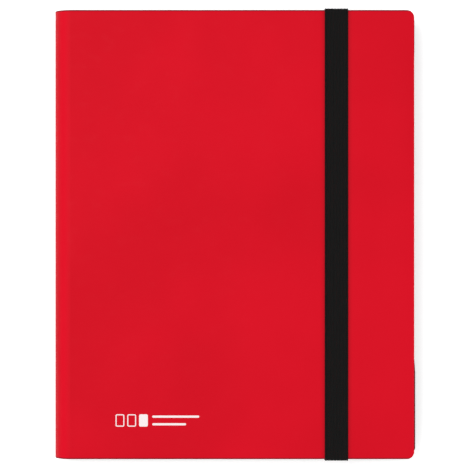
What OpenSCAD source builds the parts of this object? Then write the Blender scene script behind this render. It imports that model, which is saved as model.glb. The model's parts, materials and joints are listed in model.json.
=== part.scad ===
// Side-loading trading card binder: a flexible cover bent round a stack of pocket leaves and held
// shut by an elastic strap. It lies closed on its back cover, with the spine toward -X, the
// opening edge toward +X and the height along Y. Millimetres.

/* [Card pockets] */
// Width of one card pocket, measured away from the spine
pocket_width = 68; // [45:0.5:100]
// Height of one card pocket
pocket_height = 94; // [60:0.5:130]
// Columns of pockets on a leaf
pocket_columns = 3; // [1:1:4]
// Rows of pockets on a leaf
pocket_rows = 3; // [1:1:4]
// Width of the weld round each pocket
weld_width = 3; // [1.5:0.1:6]
// Room for a card between the backing and the film
pocket_gap = 0.18; // [0.1:0.01:0.4]
// Thickness of the clear film
film_thickness = 0.1; // [0.05:0.01:0.2]
// Width of the slit that a card is loaded through
slit_width = 1.2; // [0.5:0.1:3]
// Distance from the spine side of a pocket to its slit
slit_inset = 0.8; // [0.3:0.1:3]
// Film left whole past each end of a slit
slit_end = 3; // [1:0.5:8]

/* [Leaves] */
// Number of leaves, half of them bound on each side of the middle
leaf_count = 20; // [4:2:20]
// Thickness of the black backing sheet of a leaf
backing_thickness = 0.2; // [0.1:0.02:0.4]
// Air between one leaf and the next
leaf_air = 0.24; // [0.1:0.02:0.6]
// Backing left above and below the pockets
leaf_edge_margin = 1.5; // [0.5:0.1:6]
// Backing left between the pockets and the opening edge
leaf_fore_margin = 2.8; // [1:0.1:8]
// Corner radius of a leaf
leaf_corner = 3; // [1:0.5:6]
// Plain backing between the last crease and the pockets, where the leaves flex
flex_width = 6.2; // [3:0.1:15]
// Distance from the binding rail to the nearest crease
crease_start = 0.6; // [0.3:0.1:2]
// Distance from a crease to the edge of the leaf that turns about it
crease_gap = 0.15; // [0.12:0.01:0.3]

/* [Covers] */
// Thickness of the cover sheet
cover_sheet = 1.2; // [0.8:0.05:2]
// Thickness of the black lining on the inside of the cover
lining_thickness = 0.3; // [0.15:0.05:0.5]
// Strip of bare cover left round the lining
lining_inset = 2; // [1:0.5:4]
// Clearance between a lining and the leaf nearest to it
leaf_clearance = 0.7; // [0.6:0.05:2]
// How far the cover stands past the leaves at top and bottom
overhang_ends = 4.5; // [2:0.5:10]
// How far the cover stands past the leaves at the opening edge
overhang_fore = 0.2; // [0.1:0.1:3]
// Corner radius of the covers at the opening edge
cover_corner = 5; // [3:0.5:12]
// Shoulder left on each side of the round bead at a cover crease
bead_shoulder = 0.05; // [0.05:0.01:0.15]
// Clearance between the two halves of a cover crease
hinge_clearance = 0.45; // [0.3:0.05:0.6]
// Extra room round a cover crease, left free by the linings
lining_relief = 0.3; // [0.2:0.05:1]

/* [Binding rail] */
// Thickness of the rail plate that the leaves are welded to
rail_plate = 1; // [0.6:0.1:2]
// Distance from the front of the rail plate to the centre of the spine curve
rail_setback = 1.38; // [0.8:0.02:2]
// Clearance between the ends of the rail plate and the linings
rail_clearance = 0.2; // [0.1:0.05:0.5]
// Thickness of the web that joins the plate to the spine
rail_web = 1.6; // [1:0.1:3]
// Height of the rail foot that is welded to the spine
rail_foot_height = 9; // [5:0.5:10]
// Thickness of the rail foot at its middle
rail_foot_depth = 1.6; // [1:0.1:2]

/* [Elastic strap] */
// Width of the elastic
strap_width = 16; // [8:0.5:25]
// Thickness of the elastic
strap_thickness = 1; // [0.6:0.05:1.3]
// Distance from the opening edge to the middle of the strap
strap_inset = 53; // [30:1:80]
// Gap between the strap and the closed covers
strap_gap = 0.1; // [0.05:0.01:0.2]
// Distance from the cover edge to the slot that the strap goes through
slot_inset = 10; // [6:0.5:20]
// Clearance of the strap in its slot and channel
slot_clearance = 0.3; // [0.2:0.05:0.6]
// Cover wall left behind the strap channel
channel_wall = 0.6; // [0.4:0.05:0.8]
// Rim of the raised pad on each side of the strap channel
pad_rim = 2; // [1:0.5:4]
// Length of the pressed strap tail inside the back cover
tail_length = 24; // [12:1:40]
// Thickness of the pressed strap tail
tail_thickness = 0.5; // [0.35:0.05:0.6]
// Thickness of the patch welded over a strap tail
patch_thickness = 0.25; // [0.15:0.05:0.3]
// Border of the patch past the sides and the end of the tail
patch_border = 4; // [2:0.5:8]
// Distance from the slot to the near edge of the patch
patch_start = 3; // [1:0.5:6]

/* [Hidden] */
$fn = 96;
overcut = 1;

// The leaf stack sets the thickness of the closed binder, and so the curve of the spine.
film_rise = pocket_gap + film_thickness;
leaf_thickness = backing_thickness + 2 * film_rise;
leaf_pitch = leaf_thickness + leaf_air;
stack_thickness = (leaf_count - 1) * leaf_pitch + leaf_thickness;
wall = cover_sheet + lining_thickness;
closed_thickness = 2 * (wall + leaf_clearance) + stack_thickness;
spine_radius = closed_thickness / 2;
lining_radius = spine_radius - cover_sheet;
inner_radius = spine_radius - wall;
sheet_mid_radius = spine_radius - cover_sheet / 2;

// Distances from the outside of the spine, along X.
rail_front = spine_radius - rail_setback;
rail_back = rail_front - rail_plate;
rail_half_height = sqrt(pow(inner_radius, 2) - pow(spine_radius - rail_back, 2)) - rail_clearance;
last_crease = rail_front + crease_start + (leaf_count / 2 - 1) * leaf_pitch;
grid_start = last_crease + flex_width;
grid_width = pocket_columns * (pocket_width + weld_width) + weld_width;
leaf_end = grid_start + grid_width + leaf_fore_margin;
cover_width = leaf_end + overhang_fore;
strap_middle = cover_width - strap_inset;

// Distances from the middle, along Y.
grid_height = pocket_rows * (pocket_height + weld_width) + weld_width;
leaf_height = grid_height + 2 * leaf_edge_margin;
cover_height = leaf_height + 2 * overhang_ends;
cover_end = cover_height / 2;
strap_inner = cover_end + strap_gap;
slot_outer = cover_end - slot_inset + slot_clearance + strap_thickness / 2;
slot_inner = slot_outer - strap_thickness - 2 * slot_clearance;

// Each cover crease lies in the middle of the sheet, an eighth of a turn round the spine curve.
crease_turn = 45;
crease_depth = spine_radius - sheet_mid_radius * cos(crease_turn);
hinge_radius = cover_sheet / 2 - bead_shoulder;
cove_radius = hinge_radius + hinge_clearance;
relief_radius = cove_radius + lining_relief;

function two_digits(n) = str(n < 10 ? "0" : "", n);
function leaf_node(n, piece) = str("leaf_", two_digits(n), "_", piece);
function leaf_z(n) = spine_radius + ((leaf_count + 1) / 2 - n) * leaf_pitch;
function crease_x(n) = rail_front + crease_start + min(n - 1, leaf_count - n) * leaf_pitch;

leaves = [1 : leaf_count];

// ---- placing -------------------------------------------------------------------------------

// Moves a shape that is measured from the outside of the spine to the middle of the binder.
module from_spine() {
    translate([-cover_width / 2, 0, 0]) children();
}

// Turns a shape made for the back cover over, so that it belongs to the front cover.
module front_side() {
    translate([0, 0, closed_thickness]) mirror([0, 0, 1]) children();
}

// Extrudes a profile drawn in X and Z along Y.
module along_y(length) {
    rotate([90, 0, 0]) linear_extrude(length, center = true) children();
}

// Extrudes a profile drawn in Y and Z along X.
module along_x(length) {
    rotate([90, 0, 90]) linear_extrude(length, center = true) children();
}

// ---- outlines ------------------------------------------------------------------------------

// A sheet seen from above, square at the spine and rounded at its two outer corners.
module flap_outline(start, end, height, corner) {
    translate([start, -height / 2]) square([end - corner - start, height]);
    translate([end - 2 * corner, corner - height / 2]) square([2 * corner, height - 2 * corner]);
    for (side = [-1, 1])
        translate([end - corner, side * (height / 2 - corner)]) circle(corner);
}

// Part of a ring centred on the spine curve, up to a quarter turn long.
module spine_arc(inner, outer, from, to) {
    reach = 2 * outer;
    translate([spine_radius, spine_radius]) intersection() {
        difference() {
            circle(outer);
            circle(inner);
        }
        polygon([[0, 0], reach * [cos(from), sin(from)], reach * [cos(to), sin(to)]]);
    }
}

// A round spot on the crease between the back cover and the spine.
module back_crease(radius) {
    translate([crease_depth, crease_depth]) circle(radius);
}

// The same spot on both creases.
module both_creases(radius) {
    back_crease(radius);
    translate([0, closed_thickness]) mirror([0, 1]) back_crease(radius);
}

// ---- covers --------------------------------------------------------------------------------

module cover_panel() {
    linear_extrude(cover_sheet)
        flap_outline(spine_radius, cover_width, cover_height, cover_corner);
}

module cover_bend() {
    along_y(cover_height) difference() {
        spine_arc(lining_radius, spine_radius, 270 - crease_turn, 270);
        back_crease(cove_radius);
    }
}

module cover_lining() {
    lining_height = cover_height - 2 * lining_inset;
    translate([0, 0, cover_sheet]) linear_extrude(lining_thickness)
        flap_outline(spine_radius, cover_width - lining_inset, lining_height, cover_corner - lining_inset);
    along_y(lining_height) difference() {
        spine_arc(inner_radius, lining_radius, 270 - crease_turn, 270);
        back_crease(relief_radius);
    }
}

module front_cover_panel() {
    color("#cc1529") from_spine() front_side() cover_panel();
}

module front_cover_bend() {
    color("#cc1529") from_spine() front_side() cover_bend();
}

module front_cover_lining() {
    color("#1b1b1d") from_spine() front_side() cover_lining();
}

// Block over one end of the strap, from the slot out past the cover edge.
module strap_end_block(half_width, bottom, top) {
    translate([strap_middle - half_width, slot_inner, bottom])
        cube([2 * half_width, cover_end + overcut - slot_inner, top - bottom]);
}

module at_both_ends() {
    for (side = [0, 1])
        mirror([0, side, 0]) children();
}

channel_half_width = strap_width / 2 + slot_clearance;
pad_half_width = channel_half_width + pad_rim;
pad_top = strap_thickness + channel_wall;

module back_cover_panel() {
    color("#cc1529") from_spine() difference() {
        union() {
            cover_panel();
            at_both_ends() intersection() {
                strap_end_block(pad_half_width, 0, pad_top);
                translate([0, -cover_end, 0]) cube([cover_width, cover_height, pad_top]);
            }
        }
        at_both_ends() {
            strap_end_block(channel_half_width, -overcut, strap_thickness);
            translate([strap_middle - channel_half_width, slot_inner, -overcut])
                cube([2 * channel_half_width, slot_outer - slot_inner, pad_top + 2 * overcut]);
        }
    }
}

module back_cover_bend() {
    color("#cc1529") from_spine() cover_bend();
}

module back_cover_lining() {
    color("#1b1b1d") from_spine() difference() {
        cover_lining();
        at_both_ends() {
            strap_end_block(pad_half_width, 0, wall + overcut);
            translate([strap_middle - channel_half_width, slot_outer - tail_length - slot_clearance, 0])
                cube([2 * channel_half_width, tail_length, wall + overcut]);
        }
    }
}

// ---- spine and binding ---------------------------------------------------------------------

module spine_panel() {
    color("#cc1529") from_spine() {
        along_y(cover_height)
            spine_arc(lining_radius, spine_radius, 180 - crease_turn, 180 + crease_turn);
        along_y(cover_height) both_creases(hinge_radius);
    }
}

module spine_lining() {
    color("#1b1b1d") from_spine() along_y(cover_height - 2 * lining_inset) difference() {
        spine_arc(inner_radius, lining_radius, 180 - crease_turn, 180 + crease_turn);
        both_creases(relief_radius);
    }
}

module binding_rail() {
    color("#232325") from_spine() along_y(leaf_height) intersection() {
        translate([spine_radius, spine_radius]) circle(inner_radius);
        union() {
            translate([rail_back, spine_radius - rail_half_height])
                square([rail_plate, 2 * rail_half_height]);
            translate([0, spine_radius - rail_web / 2])
                square([rail_back + rail_plate / 2, rail_web]);
            translate([0, spine_radius - rail_foot_height / 2])
                square([wall + rail_foot_depth, rail_foot_height]);
        }
    }
}

module leaf_margins() {
    color("#2a2a2d") from_spine()
        for (n = leaves)
            translate([0, 0, leaf_z(n)]) along_y(leaf_height) {
                translate([rail_front, -backing_thickness / 2])
                    square([crease_x(n) - rail_front, backing_thickness]);
                translate([crease_x(n), 0]) circle(backing_thickness / 2);
            }
}

// ---- leaves --------------------------------------------------------------------------------

module leaf_backing(n) {
    color("#2a2a2d") from_spine()
        translate([0, 0, leaf_z(n) - backing_thickness / 2]) linear_extrude(backing_thickness)
            flap_outline(crease_x(n) + crease_gap, leaf_end, leaf_height, leaf_corner);
}

// The clear sheet on one side of a leaf, welded down round every pocket and slit beside the spine.
module pocket_sheet() {
    difference() {
        translate([grid_start, -grid_height / 2, 0]) cube([grid_width, grid_height, film_rise]);
        for (column = [0 : pocket_columns - 1], row = [0 : pocket_rows - 1])
            translate([
                grid_start + weld_width + column * (pocket_width + weld_width),
                weld_width + row * (pocket_height + weld_width) - grid_height / 2,
                0
            ]) {
                translate([0, 0, -overcut])
                    cube([pocket_width, pocket_height, pocket_gap + overcut]);
                translate([slit_inset, slit_end, 0])
                    cube([slit_width, pocket_height - 2 * slit_end, film_rise + overcut]);
            }
    }
}

module leaf_pockets(n) {
    color("#9fb4bd", 0.5) from_spine()
        translate([0, 0, leaf_z(n)])
            for (side = [0, 1])
                mirror([0, 0, side]) translate([0, 0, backing_thickness / 2]) pocket_sheet();
}

// ---- elastic strap -------------------------------------------------------------------------

module strap_width_of_elastic() {
    color("#1c1b1b") from_spine() translate([strap_middle, 0, 0]) along_x(strap_width) children();
}

// Outer quarter of a round edge, centred where the strap turns over the edge of a cover.
module strap_turn(z, upward) {
    quarter = upward ? 0 : -strap_thickness;
    translate([strap_inner, z]) intersection() {
        circle(strap_thickness);
        translate([0, quarter]) square([strap_thickness, strap_thickness]);
    }
}

module strap_band() {
    strap_width_of_elastic()
        translate([-strap_inner, closed_thickness + strap_gap])
            square([2 * strap_inner, strap_thickness]);
}

module strap_loop() {
    strap_width_of_elastic() {
        translate([strap_inner, strap_thickness])
            square([strap_thickness, closed_thickness + strap_gap - strap_thickness]);
        strap_turn(closed_thickness + strap_gap, true);
    }
}

module strap_tail() {
    outer_face = slot_outer - slot_clearance;
    inner_face = outer_face - strap_thickness;
    tail_end = outer_face - tail_length;
    strap_width_of_elastic() {
        strap_turn(strap_thickness, false);
        translate([inner_face, 0]) square([strap_inner - inner_face, strap_thickness]);
        translate([inner_face, 0]) square([strap_thickness, cover_sheet + tail_thickness]);
        translate([tail_end, cover_sheet]) square([outer_face - tail_end, tail_thickness]);
    }
}

module tail_patch() {
    half_width = strap_width / 2 + patch_border;
    near_edge = slot_inner - patch_start;
    far_edge = slot_outer - slot_clearance - tail_length - patch_border;
    top = cover_sheet + tail_thickness + patch_thickness;
    color("#232325") from_spine() difference() {
        translate([strap_middle - half_width, far_edge, wall])
            cube([2 * half_width, near_edge - far_edge, top - wall]);
        translate([strap_middle - channel_half_width, far_edge + patch_border - slot_clearance, 0])
            cube([2 * channel_half_width, tail_length + overcut, cover_sheet + tail_thickness]);
    }
}

module strap_top_loop() {
    strap_loop();
}

module strap_bottom_loop() {
    mirror([0, 1, 0]) strap_loop();
}

module strap_top_tail() {
    strap_tail();
}

module strap_bottom_tail() {
    mirror([0, 1, 0]) strap_tail();
}

module strap_top_patch() {
    tail_patch();
}

module strap_bottom_patch() {
    mirror([0, 1, 0]) tail_patch();
}

// ---- nodes ---------------------------------------------------------------------------------

front_cover_panel();
front_cover_bend();
front_cover_lining();
spine_panel();
spine_lining();
binding_rail();
leaf_margins();
back_cover_panel();
back_cover_bend();
back_cover_lining();
strap_band();
strap_top_loop();
strap_bottom_loop();
strap_top_tail();
strap_bottom_tail();
strap_top_patch();
strap_bottom_patch();
for (n = leaves) {
    leaf_backing(n);
    leaf_pockets(n);
}
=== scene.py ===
"""A trading card binder: a red sheet cover bent round pocket leaves and shut by an elastic strap."""
import json
import math

import bmesh
import bpy
import numpy as np
from mathutils import Matrix, Vector

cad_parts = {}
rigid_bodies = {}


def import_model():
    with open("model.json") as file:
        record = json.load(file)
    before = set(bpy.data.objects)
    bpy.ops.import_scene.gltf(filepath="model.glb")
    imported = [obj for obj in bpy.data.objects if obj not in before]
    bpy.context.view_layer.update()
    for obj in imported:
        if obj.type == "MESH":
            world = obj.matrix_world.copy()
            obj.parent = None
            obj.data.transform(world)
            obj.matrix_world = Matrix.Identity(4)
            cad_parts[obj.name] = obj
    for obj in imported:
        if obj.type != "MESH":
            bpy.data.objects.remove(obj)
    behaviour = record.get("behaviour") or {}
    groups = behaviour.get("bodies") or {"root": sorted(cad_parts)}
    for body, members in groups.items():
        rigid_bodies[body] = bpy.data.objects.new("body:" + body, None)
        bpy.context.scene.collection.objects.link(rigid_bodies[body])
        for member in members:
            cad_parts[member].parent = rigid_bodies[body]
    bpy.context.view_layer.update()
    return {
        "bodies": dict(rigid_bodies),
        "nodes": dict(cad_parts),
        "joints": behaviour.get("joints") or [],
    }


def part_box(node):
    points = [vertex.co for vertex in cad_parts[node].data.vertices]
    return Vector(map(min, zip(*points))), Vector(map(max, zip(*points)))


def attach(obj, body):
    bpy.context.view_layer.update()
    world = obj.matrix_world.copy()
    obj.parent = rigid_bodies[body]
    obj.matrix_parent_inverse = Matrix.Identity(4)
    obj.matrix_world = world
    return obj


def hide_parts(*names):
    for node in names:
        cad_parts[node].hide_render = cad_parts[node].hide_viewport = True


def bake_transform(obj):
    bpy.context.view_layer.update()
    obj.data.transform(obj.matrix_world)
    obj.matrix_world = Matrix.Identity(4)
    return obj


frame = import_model()

MM = 0.001

# ---- the frame's own sizes ------------------------------------------------------------------

joint_at = {j["name"]: Vector(j["pos_m"]) for j in frame["joints"] if "pos_m" in j}
panel_low, panel_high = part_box("front_cover_panel")
SPINE_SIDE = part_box("spine_panel")[0].x
FORE_EDGE = panel_high.x
COVER_END = panel_high.y
THICKNESS = panel_high.z
SHEET = panel_high.z - panel_low.z
RADIUS = THICKNESS / 2
CURVE_LENGTH = RADIUS * math.pi / 2
FLAT_START = SPINE_SIDE + RADIUS
SHEET_LENGTH = CURVE_LENGTH + FORE_EDGE - FLAT_START

band_low, band_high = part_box("strap_band")
STRAP_WIDTH = band_high.x - band_low.x
STRAP_THICK = band_high.z - band_low.z
STRAP_X = (band_high.x + band_low.x) / 2

film_low, film_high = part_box("leaf_01_pockets")
backing_low, backing_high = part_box("leaf_01_backing")
BACKING_THICK = backing_high.z - backing_low.z
FILM_RISE = film_high.z - backing_high.z
LEAF_END = backing_high.x
LEAF_TOP = backing_high.y
LEAF_COUNT = len([name for name in frame["bodies"] if name.startswith("leaf_")])

# ---- sizes of what only shows here ----------------------------------------------------------

LINING = 0.3 * MM
LINING_INSET = 2 * MM
COVER_CORNER = 5 * MM
EDGE_ROUND = 0.22 * MM
LEAF_CORNER = 3 * MM
COLUMNS_OF_POCKETS = 3
ROWS_OF_POCKETS = 3
WELD = 3 * MM
FILM_THICK = 0.1 * MM
POCKET_GAP = FILM_RISE - FILM_THICK
FILM_SLOPE = 1.4 * MM
SLIT_INSET = 0.8 * MM
SLIT_WIDTH = 1.2 * MM
SLIT_END = 3 * MM
POCKET_STEP_X = (film_high.x - film_low.x - WELD) / COLUMNS_OF_POCKETS
POCKET_STEP_Y = (film_high.y - film_low.y - WELD) / ROWS_OF_POCKETS
TROUGH_DEPTH = 0.6 * MM
TROUGH_SPREAD = 8.5 * MM
FORE_DROOP, FORE_DROOP_REACH = 0.22 * MM, 9 * MM
END_DROOP, END_DROOP_REACH = 0.16 * MM, 11 * MM
BACK_END_LIFT = 0.1 * MM
BEND_FADE = 12 * MM
CREASE_BEFORE, CREASE_AFTER = 0.3 * MM, 5 * MM
MOST_CREEP, LEAVES_OF_CREEP = 1.05 * MM, 6
STUD_SPACING, STUD_RADIUS, STUD_HEIGHT = 2.2 * MM, 0.62 * MM, 0.1 * MM
CORD_COUNT = 16
CORD_OVERLAP = 1.22
STRAP_TURN = 0.62 * MM
STRAP_OFF = 0.06 * MM
INK = 0.03 * MM


# ---- wiring node trees ----------------------------------------------------------------------

class Wire:
    """A socket of a node tree. Arithmetic on it adds the Math nodes that work it out."""

    def __init__(self, tree, socket):
        self.tree = tree
        self.socket = socket

    def math(self, operation, *values):
        return node(self.tree, "ShaderNodeMath", {"operation": operation}, [self, *values])

    def __add__(self, other):
        return self.math("ADD", other)

    __radd__ = __add__

    def __sub__(self, other):
        return self.math("SUBTRACT", other)

    def __rsub__(self, other):
        return (self * -1) + other

    def __mul__(self, other):
        return self.math("MULTIPLY", other)

    __rmul__ = __mul__

    def __truediv__(self, other):
        return self.math("DIVIDE", other)

    def __mod__(self, other):
        return self.math("FLOORED_MODULO", other)

    def __lt__(self, other):
        return self.math("LESS_THAN", other)

    def __gt__(self, other):
        return self.math("GREATER_THAN", other)

    def sin(self):
        return self.math("SINE")

    def cos(self):
        return self.math("COSINE")

    def floor(self):
        return self.math("FLOOR")

    def least(self, other):
        return self.math("MINIMUM", other)

    def most(self, other):
        return self.math("MAXIMUM", other)

    def between(self, low, high):
        """0 at low, 1 at high, and smooth between them."""
        settings = {"interpolation_type": "SMOOTHSTEP"}
        return node(self.tree, "ShaderNodeMapRange", settings, [self, low, high, 0.0, 1.0])

    def output(self, name):
        return Wire(self.tree, self.socket.node.outputs[name])


def node(tree, kind, settings=None, values=None, out=0):
    """Adds a node, sets it up, feeds its inputs by name or number, and returns one output."""
    made = tree.nodes.new(kind)
    for name, value in (settings or {}).items():
        setattr(made, name, value)
    pairs = values.items() if isinstance(values, dict) else enumerate(values or [])
    for name, value in pairs:
        if isinstance(value, Wire):
            tree.links.new(value.socket, made.inputs[name])
        else:
            made.inputs[name].default_value = value
    return Wire(tree, made.outputs[out])


def mixed(mask, first, second):
    return node(mask.tree, "ShaderNodeMix", {"data_type": "RGBA"}, {0: mask, 6: first, 7: second}, out=2)


# ---- finishes -------------------------------------------------------------------------------

def millimetres(tree, stretch=(1, 1, 1)):
    """Object coordinates in millimetres, stretched along an axis where a pattern runs that way."""
    place = node(tree, "ShaderNodeTexCoord", out="Object")
    scale = [1000 * share for share in stretch]
    return node(tree, "ShaderNodeMapping", None, {"Vector": place, "Scale": scale})


def axes(place):
    x = node(place.tree, "ShaderNodeSeparateXYZ", None, [place])
    return x, x.output("Y"), x.output("Z")


def noise(place, per_mm, detail=2.0, roughness=0.5):
    values = {"Vector": place, "Scale": per_mm, "Detail": detail, "Roughness": roughness}
    return node(place.tree, "ShaderNodeTexNoise", None, values)


def bumped(height, depth_mm, under=None):
    values = {"Strength": 1.0, "Distance": depth_mm * MM, "Height": height}
    if under is not None:
        values["Normal"] = under
    return node(height.tree, "ShaderNodeBump", None, values)


def finish(name, pattern, constants):
    """A material whose pattern function returns what varies, with the rest set on the shader itself."""
    material = bpy.data.materials.new(name)
    material.use_nodes = True
    tree = material.node_tree
    shader = tree.nodes["Principled BSDF"]
    for socket, value in constants.items():
        shader.inputs[socket].default_value = value
    for socket, wire in pattern(tree).items():
        tree.links.new(wire.socket, shader.inputs[socket])
    return material


def red_sheet_pattern(tree):
    place = millimetres(tree)
    grain = noise(place, 1.9, 3.0, 0.6)
    cloud = noise(place, 0.011, 2.0)
    handling = noise(millimetres(tree, (0.7, 1, 1)), 0.16, 3.0).between(0.5, 0.75)
    waves = noise(place, 0.028, 1.0)
    tone = (cloud * 0.8 + grain * 0.2).between(0.3, 0.7)
    x, y, z = axes(place)
    # painted shade: the cover's top and bottom ends darken to a dark red rim, standing in for the shade on
    # their rounded edges
    painted_end_rim_shade = y.math("ABSOLUTE").between(COVER_END / MM - 1.1, COVER_END / MM - 0.45)
    from_side = x - SPINE_SIDE / MM
    # painted highlight: a lighter red band on the spine's bend, 2.5 to 12 mm in from its side
    painted_spine_highlight = from_side.between(2.5, 5) * from_side.between(12, 7)
    # painted shadow: the front cover's outer face darkens within about 3 mm of each side of the strap
    beside_strap = (x - STRAP_X / MM).math("ABSOLUTE") - STRAP_WIDTH / 2 / MM
    painted_strap_shadow = beside_strap.between(3.2, 0.2) * (z > THICKNESS / 2 / MM) * 0.85
    red = mixed(tone, (0.595, 0.0014, 0.0115, 1), (0.655, 0.0021, 0.0142, 1))
    red = mixed(painted_spine_highlight, red, (0.69, 0.002, 0.0155, 1))
    red = mixed(painted_strap_shadow, red, (0.49, 0.0022, 0.0115, 1))
    return {
        "Base Color": mixed(painted_end_rim_shade * 0.8, red, (0.13, 0.0035, 0.012, 1)),
        "Roughness": grain * 0.16 + 0.46 - handling * 0.07,
        "Normal": bumped(grain, 0.035, under=bumped(waves, 0.9)),
    }


def lining_pattern(tree):
    place = millimetres(tree)
    x, y, _ = axes(place)
    hatch = (x * 5.2).sin() * (y * 5.2).sin()
    speck = noise(place, 1.2, 3.0)
    tone = speck.between(0.35, 0.7)
    return {
        "Base Color": mixed(tone, (0.0095, 0.0095, 0.0105, 1), (0.02, 0.02, 0.0215, 1)),
        "Roughness": speck * 0.2 + 0.5,
        "Normal": bumped(hatch * 0.5 + speck, 0.05),
    }


def backing_pattern(tree):
    place = millimetres(tree)
    speck = noise(place, 2.6, 3.0)
    sweep = noise(place, 0.02, 2.0)
    return {
        "Base Color": mixed(sweep.between(0.3, 0.7), (0.011, 0.011, 0.012, 1), (0.021, 0.021, 0.023, 1)),
        "Roughness": speck * 0.18 + 0.38,
        "Normal": bumped(speck, 0.03),
    }


def rail_pattern(tree):
    drawn = noise(millimetres(tree, (1, 0.04, 1)), 1.8, 3.0)
    return {
        "Base Color": mixed(drawn, (0.012, 0.012, 0.013, 1), (0.026, 0.026, 0.028, 1)),
        "Roughness": drawn * 0.25 + 0.4,
        "Normal": bumped(drawn, 0.06),
    }


def film_pattern(tree):
    place = millimetres(tree)
    x, y, _ = axes(place)
    across = (x - film_low.x / MM) % (POCKET_STEP_X / MM) < WELD / MM
    along = (y - film_low.y / MM) % (POCKET_STEP_Y / MM) < WELD / MM
    weld = across.most(along)
    knurl = ((x * 5.6).sin() * (y * 5.6).sin()) > 0.15
    slack = noise(place, 0.035, 2.0)
    haze = noise(place, 0.5, 3.0)
    return {
        "Base Color": mixed(weld, (0.93, 0.95, 0.96, 1), (0.5, 0.52, 0.54, 1)),
        "Roughness": weld * 0.22 + haze * 0.12 + 0.1,
        "Normal": bumped(weld * knurl, 0.12, under=bumped(slack, 4.0)),
    }


def elastic_pattern(tree):
    place = millimetres(tree)
    x, y, z = axes(place)
    cord = ((x - (STRAP_X - STRAP_WIDTH / 2) / MM) * (CORD_COUNT * MM / STRAP_WIDTH)).floor()
    pick = ((y + z) * 6.6 + cord * math.pi).sin()
    fuzz = noise(place, 5.0, 3.0, 0.7)
    off_middle = (x - STRAP_X / MM).math("ABSOLUTE")
    # painted shade: the strap darkens over its last 0.5 to 1.8 mm at each side edge
    painted_edge_shade = off_middle.between(STRAP_WIDTH / 2 / MM - 1.8, STRAP_WIDTH / 2 / MM - 0.5)
    tone = (pick * 0.25 + fuzz).between(0.25, 0.95) - painted_edge_shade * 0.8
    return {
        "Base Color": mixed(tone, (0.0035, 0.0033, 0.0032, 1), (0.0105, 0.0102, 0.0098, 1)),
        "Roughness": fuzz * 0.15 + 0.72,
        "Normal": bumped(pick * 0.6 + fuzz * 0.7, 0.05),
    }


def print_pattern(tree):
    place = millimetres(tree)
    worn = noise(place, 1.4, 3.0, 0.7).between(0.58, 0.8)
    return {
        "Base Color": mixed(worn, (0.88, 0.8, 0.8, 1), (0.75, 0.35, 0.36, 1)),
        "Roughness": worn * 0.2 + 0.4,
        "Normal": bumped(noise(place, 3.0), 0.01),
    }


def floor_pattern(tree):
    place = millimetres(tree)
    tone = noise(place, 0.004, 2.0)
    return {
        "Base Color": mixed(tone, (0.93, 0.93, 0.93, 1), (0.96, 0.96, 0.96, 1)),
        "Roughness": tone * 0.1 + 0.7,
    }


RED_SHEET = finish("red_cover_sheet_grain", red_sheet_pattern, {"Specular IOR Level": 0.07})
LINING_FINISH = finish("black_lining_hatch", lining_pattern, {"Specular IOR Level": 0.35})
BACKING_FINISH = finish("black_leaf_backing", backing_pattern, {"Specular IOR Level": 0.4})
RAIL_FINISH = finish("black_rail_drawn", rail_pattern, {"Specular IOR Level": 0.4})
FILM_FINISH = finish("clear_pocket_film", film_pattern, {"Transmission Weight": 0.94, "IOR": 1.46})
ELASTIC_FINISH = finish(
    "black_woven_elastic",
    elastic_pattern,
    {"Specular IOR Level": 0.12, "Sheen Weight": 0.04, "Sheen Roughness": 0.5},
)
PRINT_FINISH = finish("white_cover_print", print_pattern, {"Specular IOR Level": 0.3})
FLOOR_FINISH = finish(
    "pale_floor",
    floor_pattern,
    {"Specular IOR Level": 0.1, "Emission Color": (1, 1, 1, 1), "Emission Strength": 0.4},
)


# ---- making meshes --------------------------------------------------------------------------

def new_object(name, points, faces, material=None):
    mesh = bpy.data.meshes.new(name)
    mesh.from_pydata([tuple(p) for p in points], [], faces)
    mesh.validate()
    made = bpy.data.objects.new(name, mesh)
    bpy.context.scene.collection.objects.link(made)
    if material is not None:
        mesh.materials.append(material)
    return made


def settled(obj):
    """Leaves the result of an object's modifiers as its plain mesh."""
    bpy.context.view_layer.update()
    graph = bpy.context.evaluated_depsgraph_get()
    result = bpy.data.meshes.new_from_object(obj.evaluated_get(graph), depsgraph=graph)
    obj.modifiers.clear()
    before = obj.data
    obj.data = result
    bpy.data.meshes.remove(before)
    result.name = obj.name
    return obj


def smoothed(obj, degrees=40):
    obj.data.shade_smooth()
    obj.data.set_sharp_from_angle(angle=math.radians(degrees))
    return obj


def joined(name, pieces):
    """One object from several that share a material."""
    whole = bmesh.new()
    for piece in pieces:
        whole.from_mesh(piece.data)
    mesh = bpy.data.meshes.new(name)
    whole.to_mesh(mesh)
    whole.free()
    mesh.materials.append(pieces[0].data.materials[0])
    for piece in pieces:
        bpy.data.objects.remove(piece)
    made = bpy.data.objects.new(name, mesh)
    bpy.context.scene.collection.objects.link(made)
    return made


def steps(start, end, count):
    return list(np.linspace(start, end, count + 1))


def merged(*stretches):
    """Grid lines in order, with those closer than a hundredth of a millimetre taken once."""
    lines = sorted(value for stretch in stretches for value in stretch)
    kept = [lines[0]]
    for value in lines[1:]:
        if value - kept[-1] > 0.01 * MM:
            kept.append(value)
    return np.array(kept)


def corner_steps(end, corner):
    """Grid lines that follow a round corner, closer together towards its end."""
    return [end - corner * (1 - math.sin(math.radians(turn))) for turn in range(0, 91, 15)]


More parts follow.
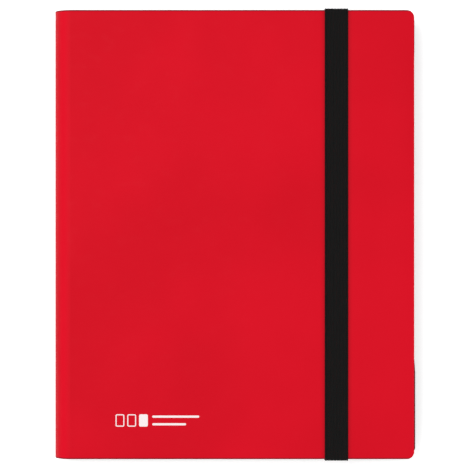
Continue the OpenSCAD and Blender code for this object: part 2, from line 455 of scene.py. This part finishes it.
def sheet_object(name, columns, rows, low, high, material, corner=0.0, openings=(), shift=None):
    """A closed sheet on a grid of X and Y lines. low and high give the Z of its two faces, and
    openings are (x from, x to, y from, y to), on grid lines. Its last two corners may be round."""
    half = rows[-1]
    past = np.clip(columns - (columns[-1] - corner), 0, corner)
    reach = (half - corner + np.sqrt(np.maximum(corner ** 2 - past ** 2, 0))) / half
    y = rows[None, :] * reach[:, None]
    x = np.repeat(columns[:, None], len(rows), axis=1)
    bottom = low(x, y) + 0 * x
    top = high(x, y) + 0 * x
    if shift is not None:
        x = x + shift(x, y)
    points = np.concatenate([np.dstack([x, y, bottom]).reshape(-1, 3), np.dstack([x, y, top]).reshape(-1, 3)])
    last_x, last_y = len(columns) - 1, len(rows) - 1
    solid = np.ones((last_x, last_y), bool)
    middle_x = (columns[1:] + columns[:-1]) / 2
    middle_y = (rows[1:] + rows[:-1]) / 2
    for from_x, to_x, from_y, to_y in openings:
        inside_x = (middle_x > from_x) & (middle_x < to_x)
        inside_y = (middle_y > from_y) & (middle_y < to_y)
        solid &= ~np.outer(inside_x, inside_y)
    above = x.size

    def is_solid(i, j):
        return 0 <= i < last_x and 0 <= j < last_y and solid[i, j]

    faces = []
    for i, j in np.argwhere(solid):
        ring = [(i, j), (i, j + 1), (i + 1, j + 1), (i + 1, j)]
        beyond = [(i - 1, j), (i, j + 1), (i + 1, j), (i, j - 1)]
        flat = [int(a * len(rows) + b) for a, b in ring]
        faces.append(flat)
        faces.append([above + index for index in reversed(flat)])
        for side, neighbour in enumerate(beyond):
            if not is_solid(*neighbour):
                a, b = flat[side], flat[(side + 1) % 4]
                faces.append([b, a, above + a, above + b])
    used = sorted({index for face in faces for index in face})
    renumbered = {old: new for new, old in enumerate(used)}
    faces = [[renumbered[index] for index in face] for face in faces]
    return new_object(name, points[used], faces, material)


def round_rims(obj, width, square_at=None):
    """Rounds the sharp edges of a sheet, except where it is cut square at one X."""
    mesh = bmesh.new()
    mesh.from_mesh(obj.data)
    weight = mesh.edges.layers.float.new("bevel_weight_edge")
    for edge in mesh.edges:
        if len(edge.link_faces) != 2 or edge.calc_face_angle() < math.radians(50):
            continue
        if square_at is None or max(abs(v.co.x - square_at) for v in edge.verts) > 0.01 * MM:
            edge[weight] = 1.0
    mesh.to_mesh(obj.data)
    mesh.free()
    bevel = obj.modifiers.new("rim", "BEVEL")
    bevel.limit_method = "WEIGHT"
    bevel.width = width
    bevel.segments = 2
    return obj


# ---- geometry trees -------------------------------------------------------------------------

def geometry_tree(name, sockets):
    """A geometry tree with named inputs. Returns it with a wire from each input."""
    tree = bpy.data.node_groups.new(name, "GeometryNodeTree")
    tree.interface.new_socket("Geometry", in_out="INPUT", socket_type="NodeSocketGeometry")
    for socket, kind in sockets.items():
        tree.interface.new_socket(socket, in_out="INPUT", socket_type=kind)
    tree.interface.new_socket("Geometry", in_out="OUTPUT", socket_type="NodeSocketGeometry")
    entry = tree.nodes.new("NodeGroupInput")
    wires = {socket.name: Wire(tree, socket) for socket in entry.outputs if socket.name}
    return tree, wires


def end_tree(tree, shape, material):
    """Every tree ends the same way: real geometry, in one material."""
    shape = node(tree, "GeometryNodeRealizeInstances", None, [shape])
    shape = node(tree, "GeometryNodeSetMaterial", None, {"Geometry": shape, "Material": material})
    leave = tree.nodes.new("NodeGroupOutput")
    tree.links.new(shape.socket, leave.inputs[0])
    return tree


def shaped(obj, tree, values):
    """Runs a tree on an object with these inputs and settles the result."""
    modifier = obj.modifiers.new(tree.name, "NODES")
    modifier.node_group = tree
    for item in tree.interface.items_tree:
        if item.in_out == "INPUT" and item.name in values:
            modifier[item.identifier] = values[item.name]
    return settled(obj)


def bend_round_spine_tree():
    """Bends a flat sheet: X is the way along it from the middle of the spine, Z its depth from the
    outer face. It lies on the floor as a back cover, or is turned over as a front cover."""
    number = "NodeSocketFloat"
    tree, given = geometry_tree(
        "bend_round_spine",
        {"Radius": number, "Spine Side": number, "Front": "NodeSocketBool", "Material": "NodeSocketMaterial"},
    )
    radius = given["Radius"]
    way, height, depth = axes(node(tree, "GeometryNodeInputPosition"))
    curve = radius * (math.pi / 2)
    turn = way.least(curve) / radius
    arm = radius - depth
    x = given["Spine Side"] + radius - arm * turn.cos() + (way - curve).most(0.0)
    z = radius - arm * turn.sin()
    z = z + given["Front"] * (radius * 2 - z * 2)
    bent = node(tree, "ShaderNodeCombineXYZ", None, [x, height, z])
    shape = node(tree, "GeometryNodeSetPosition", None, {"Geometry": given["Geometry"], "Position": bent})
    shape = node(tree, "GeometryNodeFlipFaces", None, {"Mesh": shape, "Selection": given["Front"]})
    return end_tree(tree, shape, given["Material"])


def elastic_cords_tree():
    """Lays covered cords side by side along a path, as the ribs of a woven elastic."""
    number = "NodeSocketFloat"
    tree, given = geometry_tree(
        "elastic_cords",
        {
            "Cords": "NodeSocketInt",
            "Width": number,
            "Thickness": number,
            "Overlap": number,
            "Material": "NodeSocketMaterial",
        },
    )
    spacing = given["Width"] / given["Cords"]
    path = node(tree, "GeometryNodeMeshToCurve", None, [given["Geometry"]])
    ring = node(tree, "GeometryNodeCurvePrimitiveCircle", None, {"Resolution": 10, "Radius": 0.5})
    flat = node(tree, "ShaderNodeCombineXYZ", None, [given["Thickness"], spacing * given["Overlap"], 1.0])
    ring = node(tree, "GeometryNodeTransform", None, {"Geometry": ring, "Scale": flat})
    values = {"Curve": path, "Profile Curve": ring, "Fill Caps": True}
    cord = node(tree, "GeometryNodeCurveToMesh", None, values)
    first = node(tree, "ShaderNodeCombineXYZ", None, [(spacing - given["Width"]) / 2, 0.0, 0.0])
    step = node(tree, "ShaderNodeCombineXYZ", None, [spacing, 0.0, 0.0])
    values = {"Count": given["Cords"], "Start Location": first, "Offset": step}
    row = node(tree, "GeometryNodeMeshLine", None, values)
    cords = node(tree, "GeometryNodeInstanceOnPoints", None, {"Points": row, "Instance": cord})
    return end_tree(tree, cords, given["Material"])


def weld_studs_tree():
    """Presses a row of small round studs into every line of a weld pattern."""
    number = "NodeSocketFloat"
    tree, given = geometry_tree(
        "weld_studs",
        {"Spacing": number, "Radius": number, "Height": number, "Material": "NodeSocketMaterial"},
    )
    lines = node(tree, "GeometryNodeMeshToCurve", None, [given["Geometry"]])
    values = {"Curve": lines, "Length": given["Spacing"]}
    places = node(tree, "GeometryNodeCurveToPoints", {"mode": "LENGTH"}, values)
    values = {
        "Vertices": 6,
        "Radius Top": given["Radius"] * 0.6,
        "Radius Bottom": given["Radius"],
        "Depth": given["Height"],
    }
    stud = node(tree, "GeometryNodeMeshCone", None, values)
    studs = node(tree, "GeometryNodeInstanceOnPoints", None, {"Points": places, "Instance": stud})
    return end_tree(tree, studs, given["Material"])


BEND_ROUND_SPINE = bend_round_spine_tree()
ELASTIC_CORDS = elastic_cords_tree()
WELD_STUDS = weld_studs_tree()


# ---- covers ---------------------------------------------------------------------------------

def along_sheet(x):
    """The way along the cover sheet to a place on its flat part."""
    return CURVE_LENGTH + x - FLAT_START


STRAP_WAY = along_sheet(STRAP_X)


def near_edge(distance, reach):
    """1 at an edge, and 0 from reach inwards."""
    return np.clip(1 - distance / reach, 0, 1) ** 2


def past_bend(way):
    """0 on the spine's bend, and 1 once the sheet is well past it."""
    return np.clip((way - CURVE_LENGTH) / BEND_FADE, 0, 1)


def cover_sag(way, y):
    """How far the cover leans inwards: under the strap, and a little along its free edges."""
    trough = TROUGH_DEPTH * np.exp(-(((way - STRAP_WAY) / TROUGH_SPREAD) ** 2))
    fore = FORE_DROOP * near_edge(SHEET_LENGTH - way, FORE_DROOP_REACH)
    ends = END_DROOP * near_edge(COVER_END - np.abs(y), END_DROOP_REACH)
    return (trough + fore + ends) * past_bend(way)


def cover_columns(end, corner):
    beside_strap = 26 * MM
    return merged(
        steps(0, CURVE_LENGTH, 30),
        steps(CURVE_LENGTH, STRAP_WAY - beside_strap, 16),
        steps(STRAP_WAY - beside_strap, STRAP_WAY + beside_strap, 22),
        steps(STRAP_WAY + beside_strap, end - corner, 6),
        corner_steps(end, corner),
    )


def cover_rows(end):
    inner = end - 12 * MM
    return merged(steps(-end, -inner, 4), steps(-inner, inner, 24), steps(inner, end, 4))


def lines_away(lines, place, room):
    """The grid lines that keep this far from a place."""
    return [line for line in lines if abs(line - place) > room]


def bent(piece, material, front):
    values = {"Radius": RADIUS, "Spine Side": SPINE_SIDE, "Front": front, "Material": material}
    return smoothed(shaped(piece, BEND_ROUND_SPINE, values))


def join_across_crease(piece, front):
    """Bakes the piece's placement into its mesh, the same way for either cover."""
    if front:
        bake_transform(piece)
    else:
        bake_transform(piece)


def front_cover():
    columns = cover_columns(SHEET_LENGTH, COVER_CORNER)
    skin = sheet_object(
        "front_cover_skin",
        columns,
        cover_rows(COVER_END),
        cover_sag,
        lambda way, y: cover_sag(way, y) + SHEET,
        RED_SHEET,
        corner=COVER_CORNER,
    )
    bent(round_rims(skin, EDGE_ROUND, square_at=0.0), RED_SHEET, True)
    join_across_crease(skin, True)
    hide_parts("front_cover_panel", "front_cover_bend", "spine_panel")


# The strap comes through the back cover in two slots, along a shallow channel from each end.
tail_low, tail_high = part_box("strap_top_tail")
SLOT_ROOM = 0.3 * MM
SLOT_FROM_END = 10 * MM
SLOT_INNER = COVER_END - SLOT_FROM_END - STRAP_THICK / 2 - SLOT_ROOM
SLOT_OUTER = COVER_END - SLOT_FROM_END + STRAP_THICK / 2 + SLOT_ROOM
CHANNEL_HALF = STRAP_WIDTH / 2 + SLOT_ROOM
CHANNEL_WALL = 0.6 * MM
CHANNEL_SLOPE = 0.3 * MM
PRESSED_STEP = 0.2 * MM
PAD_RIM = 2 * MM
CLEAR_OF_SLOT = 2 * MM


def channel_share(way, y, spread):
    """1 in the strap's channel, 0 away from it, with a pressed slope of that spread between."""
    beside = np.clip((CHANNEL_HALF + spread - np.abs(way - STRAP_WAY)) / spread, 0, 1)
    behind = np.clip((np.abs(y) - SLOT_INNER + 0.01 * MM) / PRESSED_STEP, 0, 1)
    return beside * behind


def back_outer(way, y):
    channel = channel_share(way, y, CHANNEL_SLOPE)
    ends = BACK_END_LIFT * near_edge(COVER_END - np.abs(y), END_DROOP_REACH) * past_bend(way)
    return ends * (1 - channel) + STRAP_THICK * channel


def back_inner(way, y):
    pad = channel_share(way, y, PAD_RIM)
    return SHEET + (STRAP_THICK + CHANNEL_WALL - SHEET) * pad


def slotted_rows(end, edges):
    """A cover's rows, with lines at these distances above and below the middle."""
    plain = lines_away(lines_away(cover_rows(end), SLOT_INNER, CLEAR_OF_SLOT), -SLOT_INNER, CLEAR_OF_SLOT)
    return merged(plain, edges, [-y for y in edges])


def back_cover():
    beside = []
    for more in (0, CHANNEL_SLOPE, PAD_RIM):
        beside += [STRAP_WAY - CHANNEL_HALF - more, STRAP_WAY + CHANNEL_HALF + more]
    columns = merged(
        lines_away(cover_columns(SHEET_LENGTH, COVER_CORNER), STRAP_WAY, CHANNEL_HALF + PAD_RIM),
        beside,
        steps(STRAP_WAY - CHANNEL_HALF, STRAP_WAY + CHANNEL_HALF, 6),
    )
    rows = slotted_rows(COVER_END, (SLOT_INNER, SLOT_INNER - PRESSED_STEP, SLOT_OUTER))
    slots = [
        (STRAP_WAY - CHANNEL_HALF, STRAP_WAY + CHANNEL_HALF, SLOT_INNER, SLOT_OUTER),
        (STRAP_WAY - CHANNEL_HALF, STRAP_WAY + CHANNEL_HALF, -SLOT_OUTER, -SLOT_INNER),
    ]
    skin = sheet_object(
        "back_cover_skin",
        columns,
        rows,
        back_outer,
        back_inner,
        RED_SHEET,
        corner=COVER_CORNER,
        openings=slots,
    )
    bent(round_rims(skin, EDGE_ROUND * 0.5, square_at=0.0), RED_SHEET, False)
    join_across_crease(skin, False)
    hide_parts("back_cover_panel", "back_cover_bend", "spine_panel")


def linings():
    end = SHEET_LENGTH - LINING_INSET
    corner = COVER_CORNER - LINING_INSET
    top = COVER_END - LINING_INSET
    front = sheet_object(
        "front_lining_sheet",
        cover_columns(end, corner),
        cover_rows(top),
        lambda way, y: cover_sag(way, y) + SHEET,
        lambda way, y: cover_sag(way, y) + SHEET + LINING,
        LINING_FINISH,
        corner=corner,
    )
    bent(front, LINING_FINISH, True)
    join_across_crease(front, True)
    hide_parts("front_cover_lining", "spine_lining")

    tail_end = tail_low.y - SLOT_ROOM
    cut_half = CHANNEL_HALF + PAD_RIM
    columns = merged(
        lines_away(cover_columns(end, corner), STRAP_WAY, cut_half),
        [STRAP_WAY - cut_half, STRAP_WAY - CHANNEL_HALF, STRAP_WAY + CHANNEL_HALF, STRAP_WAY + cut_half],
    )
    rows = slotted_rows(top, (tail_end, SLOT_INNER))
    cuts = []
    for side in (-1, 1):
        for half, start, stop in ((cut_half, SLOT_INNER, top + MM), (CHANNEL_HALF, tail_end, SLOT_INNER)):
            cuts.append((STRAP_WAY - half, STRAP_WAY + half, *sorted((side * start, side * stop))))
    back = sheet_object(
        "back_lining_sheet",
        columns,
        rows,
        lambda way, y: SHEET + 0 * way,
        lambda way, y: SHEET + LINING + 0 * way,
        LINING_FINISH,
        corner=corner,
        openings=cuts,
    )
    bent(back, LINING_FINISH, False)
    join_across_crease(back, False)
    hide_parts("back_cover_lining", "spine_lining")


# ---- printed mark ---------------------------------------------------------------------------

def rounded_outline(width, height, corner):
    """Points round a rectangle with round corners, anticlockwise from the lower right."""
    points = []
    for turn, sx, sy in ((-90, 1, -1), (0, 1, 1), (90, -1, 1), (180, -1, -1)):
        for step in range(0, 91, 18):
            angle = math.radians(turn + step)
            points.append(Vector((
                sx * (width / 2 - corner) + corner * math.cos(angle),
                sy * (height / 2 - corner) + corner * math.sin(angle),
                0,
            )))
    return points


def printed_frame(width, height, line, corner, place):
    """A thin printed line round a card shape, or a solid one where line is 0."""
    outside = rounded_outline(width, height, corner)
    count = len(outside)
    if line:
        inside = rounded_outline(width - 2 * line, height - 2 * line, max(corner - line, 0.1 * MM))
        loops = [outside, inside]
    else:
        loops = [outside]
    points = [place + p for loop in loops for p in loop]
    below = len(points)
    points += [p - Vector((0, 0, INK)) for p in points]
    faces = []
    for i in range(count):
        j = (i + 1) % count
        faces.append([i, below + i, below + j, j])
        if line:
            faces.append([i, j, count + j, count + i])
            faces.append([below + j, below + i, below + count + i, below + count + j])
            faces.append([count + j, below + count + j, below + count + i, count + i])
    if not line:
        faces.append(list(range(count)))
        faces.append([below + i for i in reversed(range(count))])
    return new_object("ink", points, faces, PRINT_FINISH)


def cover_print():
    """A plain row of three card shapes, the last one filled, with two rules beside it."""
    left = SPINE_SIDE + 45 * MM
    base = -COVER_END + 26.4 * MM
    level = THICKNESS + 0.02 * MM
    card_width, card_height, card_step = 6 * MM, 8.4 * MM, 8 * MM
    pieces = []
    for number, line in enumerate((0.7 * MM, 0.7 * MM, 0.0)):
        place = Vector((left + number * card_step, base, level))
        pieces.append(printed_frame(card_width, card_height, line, 1.1 * MM, place))
    rule_left = left + 2 * card_step + card_width
    for length, lift in ((32 * MM, 2.6 * MM), (23 * MM, -2.6 * MM)):
        place = Vector((rule_left + length / 2, base + lift, level))
        pieces.append(printed_frame(length, 1.5 * MM, 0.0, 0.7 * MM, place))
    mark = joined("cover_print", pieces)
    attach(mark, "front_cover")


# ---- leaves ---------------------------------------------------------------------------------

def pocket_lines(start, step, count, inner_marks):
    """Grid lines across welds and pockets: each weld's edges, then marks measured into the pocket."""
    lines = [start + count * step + share * WELD for share in (0, 1)]
    for n in range(count):
        weld = start + n * step
        pocket = weld + WELD
        room = step - WELD
        lines += [weld, pocket] + [pocket + mark for mark in inner_marks]
        lines += [pocket + room * share for share in (0.3, 0.5, 0.7, 0.86)]
        lines += [pocket + room - mark for mark in (3 * MM, FILM_SLOPE, 0.5 * MM)]
    return merged(lines)


POCKET_COLUMNS = pocket_lines(
    film_low.x,
    POCKET_STEP_X,
    COLUMNS_OF_POCKETS,
    (0.4 * MM, SLIT_INSET, SLIT_INSET + SLIT_WIDTH, 3.4 * MM, 8 * MM),
)
POCKET_ROWS = pocket_lines(
    film_low.y,
    POCKET_STEP_Y,
    ROWS_OF_POCKETS,
    (0.5 * MM, FILM_SLOPE, SLIT_END, 12 * MM),
)
POCKET_ROWS = merged(POCKET_ROWS, [-y for y in POCKET_ROWS])


def slits():
    """The opening beside the spine side of every pocket."""
    found = []
    for column in range(COLUMNS_OF_POCKETS):
        x = film_low.x + column * POCKET_STEP_X + WELD + SLIT_INSET
        for row in range(ROWS_OF_POCKETS):
            y = film_low.y + row * POCKET_STEP_Y + WELD + SLIT_END
            found.append((x, x + SLIT_WIDTH, y, y + POCKET_STEP_Y - WELD - 2 * SLIT_END))
    return found


def film_lift(chance):
    """How far the film stands off its backing: not at the welds, and with a slack of its own
    in each pocket."""
    slack = chance.uniform(0.72, 1.0, (COLUMNS_OF_POCKETS + 1, ROWS_OF_POCKETS + 1))
    phase = chance.uniform(0, 2 * math.pi)

    def lift(x, y):
        into_x = np.mod(x - film_low.x + 1e-7, POCKET_STEP_X) - WELD
        into_y = np.mod(y - film_low.y + 1e-7, POCKET_STEP_Y) - WELD
        column = np.clip(((x - film_low.x) // POCKET_STEP_X).astype(int), 0, COLUMNS_OF_POCKETS)
        row = np.clip(((y - film_low.y) // POCKET_STEP_Y).astype(int), 0, ROWS_OF_POCKETS)
        from_edge = np.minimum(
            np.minimum(into_x, POCKET_STEP_X - WELD - into_x),
            np.minimum(into_y, POCKET_STEP_Y - WELD - into_y),
        )
        rise = np.clip(from_edge / FILM_SLOPE, 0, 1)
        ripple = 1 - 0.12 * (1 + np.sin(x * 160 + y * 90 + phase))
        return POCKET_GAP * rise * rise * (3 - 2 * rise) * slack[column, row] * ripple

    return lift


def leaf_films(number, middle):
    """The clear sheets on both faces of one leaf."""
    chance = np.random.default_rng(number)
    half = BACKING_THICK / 2
    openings = slits()
    faces = []
    for side in (1, -1):
        lift = film_lift(chance)

        def at(depth):
            return lambda x, y: middle + side * (half + lift(x, y) + depth)

        low, high = at(0), at(FILM_THICK)
        if side < 0:
            low, high = high, low
        film = sheet_object("film", POCKET_COLUMNS, POCKET_ROWS, low, high, FILM_FINISH, openings=openings)
        faces.append(film)
    return smoothed(joined(f"leaf_{number:02d}_films", faces), 60)


def weld_lines(name, level):
    """Centre lines of the welds on one page, as loose edges."""
    points = []
    inset = 1.2 * MM
    for n in range(COLUMNS_OF_POCKETS + 1):
        x = film_low.x + n * POCKET_STEP_X + WELD / 2
        points += [(x, film_low.y + inset, level), (x, film_high.y - inset, level)]
    for n in range(ROWS_OF_POCKETS + 1):
        y = film_low.y + n * POCKET_STEP_Y + WELD / 2
        points += [(film_low.x + inset, y, level), (film_high.x - inset, y, level)]
    edges = [(n, n + 1) for n in range(0, len(points), 2)]
    mesh = bpy.data.meshes.new(name)
    mesh.from_pydata(points, edges, [])
    made = bpy.data.objects.new(name, mesh)
    bpy.context.scene.collection.objects.link(made)
    return made


def page_studs(number, middle, side):
    """Pressed weld studs on one of the two pages that face each other when the binder is open."""
    level = middle + side * (BACKING_THICK / 2 + FILM_THICK)
    studs = weld_lines(f"leaf_{number:02d}_weld_studs", level)
    values = {
        "Spacing": STUD_SPACING,
        "Radius": STUD_RADIUS,
        "Height": STUD_HEIGHT,
        "Material": FILM_FINISH,
    }
    shaped(studs, WELD_STUDS, values)
    if side < 0:
        studs.data.transform(Matrix.Translation((0, 0, 2 * level)) @ Matrix.Diagonal((1, 1, -1, 1)))
        studs.data.flip_normals()
    smoothed(studs, 30)
    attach(studs, f"leaf_{number:02d}")


def leaf(number):
    """One leaf: its black backing runs on into the rail, with grid lines close together at its crease."""
    body = f"leaf_{number:02d}"
    crease = joint_at[f"{body}_crease"]
    middle = crease.z
    rail_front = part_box("binding_rail")[1].x
    creep = MOST_CREEP * math.exp(-(number - 1) / LEAVES_OF_CREEP)

    def fore_creep(x, y):
        """The upper leaves have worked a little past the cover, most at its lower corner."""
        low_end = np.clip((-y - 80 * MM) / (12 * MM), 0, 1)
        top_end = 0.5 * np.clip((y - 110 * MM) / (15 * MM), 0, 1)
        past_films = np.clip((x - film_high.x) / (LEAF_END - film_high.x), 0, 1)
        return creep * (low_end + top_end) * past_films

    columns = merged(
        [rail_front - 0.2 * MM],
        steps(crease.x - CREASE_BEFORE, crease.x + CREASE_AFTER, 10),
        steps(crease.x + CREASE_AFTER, film_high.x, 8),
        corner_steps(LEAF_END, LEAF_CORNER),
    )
    half = BACKING_THICK / 2
    backing = sheet_object(
        f"{body}_sheet",
        columns,
        merged(steps(-LEAF_TOP, LEAF_TOP, 28)),
        lambda x, y: middle - half + 0 * x,
        lambda x, y: middle + half + 0 * x,
        BACKING_FINISH,
        corner=LEAF_CORNER,
        shift=fore_creep,
    )
    smoothed(backing)
    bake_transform(backing)
    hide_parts(f"{body}_backing", "leaf_margins")

    films = leaf_films(number, middle)
    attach(films, body)
    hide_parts(f"{body}_pockets")


# ---- elastic strap --------------------------------------------------------------------------

def turn_points(centre, radius, from_degrees, to_degrees, count):
    """Points round a turn of the strap, in Y and Z."""
    found = []
    for degrees in steps(from_degrees, to_degrees, count):
        angle = math.radians(degrees)
        found.append((centre[0] + radius * math.cos(angle), centre[1] + radius * math.sin(angle)))
    return found


def strap_path():
    """The middle line of the elastic, in Y and Z, from one slot to the other over the front cover."""
    half = STRAP_THICK / 2
    wrap = band_high.y
    top = THICKNESS + half - TROUGH_DEPTH + STRAP_OFF
    bottom = half + STRAP_OFF
    rise = tail_high.y - half
    slot = (SLOT_INNER + SLOT_OUTER) / 2
    turn = STRAP_TURN
    end = [(slot, SHEET + 0.2 * MM)]
    end += turn_points((slot + turn, bottom + turn), turn, 180, 270, 5)
    end += turn_points((rise - turn, bottom + turn), turn, -90, 0, 5)
    end += [(rise, z) for z in steps(2.5 * MM, top - turn - 0.6 * MM, 8)]
    end += turn_points((rise - turn, top - turn), turn, 0, 90, 5)
    middle = [(y, top) for y in steps(wrap - 4 * MM, -wrap + 4 * MM, 30)]
    other = [(-y, z) for y, z in reversed(end)]
    return end + middle + other


def strap():
    route = [(0.0, y, z) for y, z in strap_path()]
    mesh = bpy.data.meshes.new("elastic_strap")
    mesh.from_pydata(route, [(n, n + 1) for n in range(len(route) - 1)], [])
    piece = bpy.data.objects.new("elastic_strap", mesh)
    bpy.context.scene.collection.objects.link(piece)
    values = {
        "Cords": CORD_COUNT,
        "Width": STRAP_WIDTH,
        "Thickness": STRAP_THICK * 0.96,
        "Overlap": CORD_OVERLAP,
        "Material": ELASTIC_FINISH,
    }
    shaped(piece, ELASTIC_CORDS, values)
    piece.data.transform(Matrix.Translation((STRAP_X, 0, 0)))
    smoothed(piece, 60)
    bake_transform(piece)
    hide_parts("strap_band", "strap_top_loop", "strap_bottom_loop")


def pressed_tails():
    """The ends of the elastic, ironed flat and welded inside the back cover."""
    tail_top = tail_high.z
    rib_depth = 0.12 * MM
    half = STRAP_WIDTH / 2
    for end, side in (("top", 1), ("bottom", -1)):
        inner = (SLOT_INNER + SLOT_OUTER) / 2 + STRAP_THICK / 2
        rows = np.array(sorted(side * y for y in steps(tail_low.y, inner, 20)))
        columns = merged(steps(STRAP_X - half, STRAP_X + half, CORD_COUNT * 2))

        def ribbed(x, y):
            ribs = np.abs(np.sin((x - STRAP_X + half) / STRAP_WIDTH * CORD_COUNT * math.pi))
            return tail_top - rib_depth * (1 - ribs)

        name = f"strap_{end}_pressed_tail"
        piece = tail_object(name, columns, rows, lambda x, y: SHEET + 0 * x, ribbed)
        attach(piece, "back_cover")
        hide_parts(f"strap_{end}_tail")


def tail_object(name, columns, rows, low, high):
    """A straight strip whose rows need not be centred."""
    middle = (rows[0] + rows[-1]) / 2
    piece = sheet_object(name, columns, rows - middle, low, high, ELASTIC_FINISH)
    piece.data.transform(Matrix.Translation((0, middle, 0)))
    return smoothed(piece, 50)


# ---- pieces that keep their own shape -------------------------------------------------------

def refinish(name, material):
    part = frame["nodes"][name]
    part.data.materials.clear()
    part.data.materials.append(material)


# ---- stage ----------------------------------------------------------------------------------

def floor():
    reach = 3.0
    level = -0.02 * MM
    points = [(-reach, -reach, level), (reach, -reach, level), (reach, reach, level), (-reach, reach, level)]
    new_object("floor", points, [[0, 1, 2, 3]], FLOOR_FINISH)


def soft_light(name, place, size, power, target=(0, 0, 0)):
    light = bpy.data.lights.new(name, "AREA")
    light.shape = "DISK"
    light.size = size
    light.energy = power
    lamp = bpy.data.objects.new(name, light)
    lamp.location = place
    lamp.rotation_euler = (Vector(target) - Vector(place)).to_track_quat("-Z", "Y").to_euler()
    bpy.context.scene.collection.objects.link(lamp)


def lights():
    """A pale room, brighter overhead than at its walls, with a soft key from the spine's side."""
    soft_light("key_left", (-0.75, 0.35, 1.7), 1.2, 15, target=(-0.1, 0, 0))
    soft_light("fill_right", (1.6, -0.5, 1.7), 1.8, 5)
    soft_light("fill_front", (0.1, -2.0, 1.3), 1.8, 4)
    world = bpy.data.worlds.new("pale_room")
    world.use_nodes = True
    background = world.node_tree.nodes["Background"]
    _, _, height = axes(node(world.node_tree, "ShaderNodeTexCoord", out="Generated"))
    sky = mixed(height.between(-0.1, 0.9), (0.32, 0.32, 0.32, 1), (0.88, 0.88, 0.88, 1))
    world.node_tree.links.new(sky.socket, background.inputs["Color"])
    background.inputs["Strength"].default_value = 0.85
    bpy.context.scene.world = world


def camera():
    """Straight above the front cover, far enough off that the binder's sides hardly show."""
    view = bpy.data.cameras.new("camera")
    view.lens = 147
    view.sensor_width = 36
    view.clip_end = 20
    eye = bpy.data.objects.new("camera", view)
    eye.location = (0.96 * MM, -0.62 * MM, THICKNESS + 1.31)
    bpy.context.scene.collection.objects.link(eye)
    bpy.context.scene.camera = eye
    bpy.context.scene.view_settings.view_transform = "Standard"


front_cover()
back_cover()
linings()
cover_print()
for leaf_number in range(1, LEAF_COUNT + 1):
    leaf(leaf_number)
for leaf_number, page_side in ((LEAF_COUNT // 2, -1), (LEAF_COUNT // 2 + 1, 1)):
    page_studs(leaf_number, joint_at[f"leaf_{leaf_number:02d}_crease"].z, page_side)
strap()
pressed_tails()
refinish("binding_rail", RAIL_FINISH)
refinish("strap_top_patch", BACKING_FINISH)
refinish("strap_bottom_patch", BACKING_FINISH)
floor()
lights()
camera()
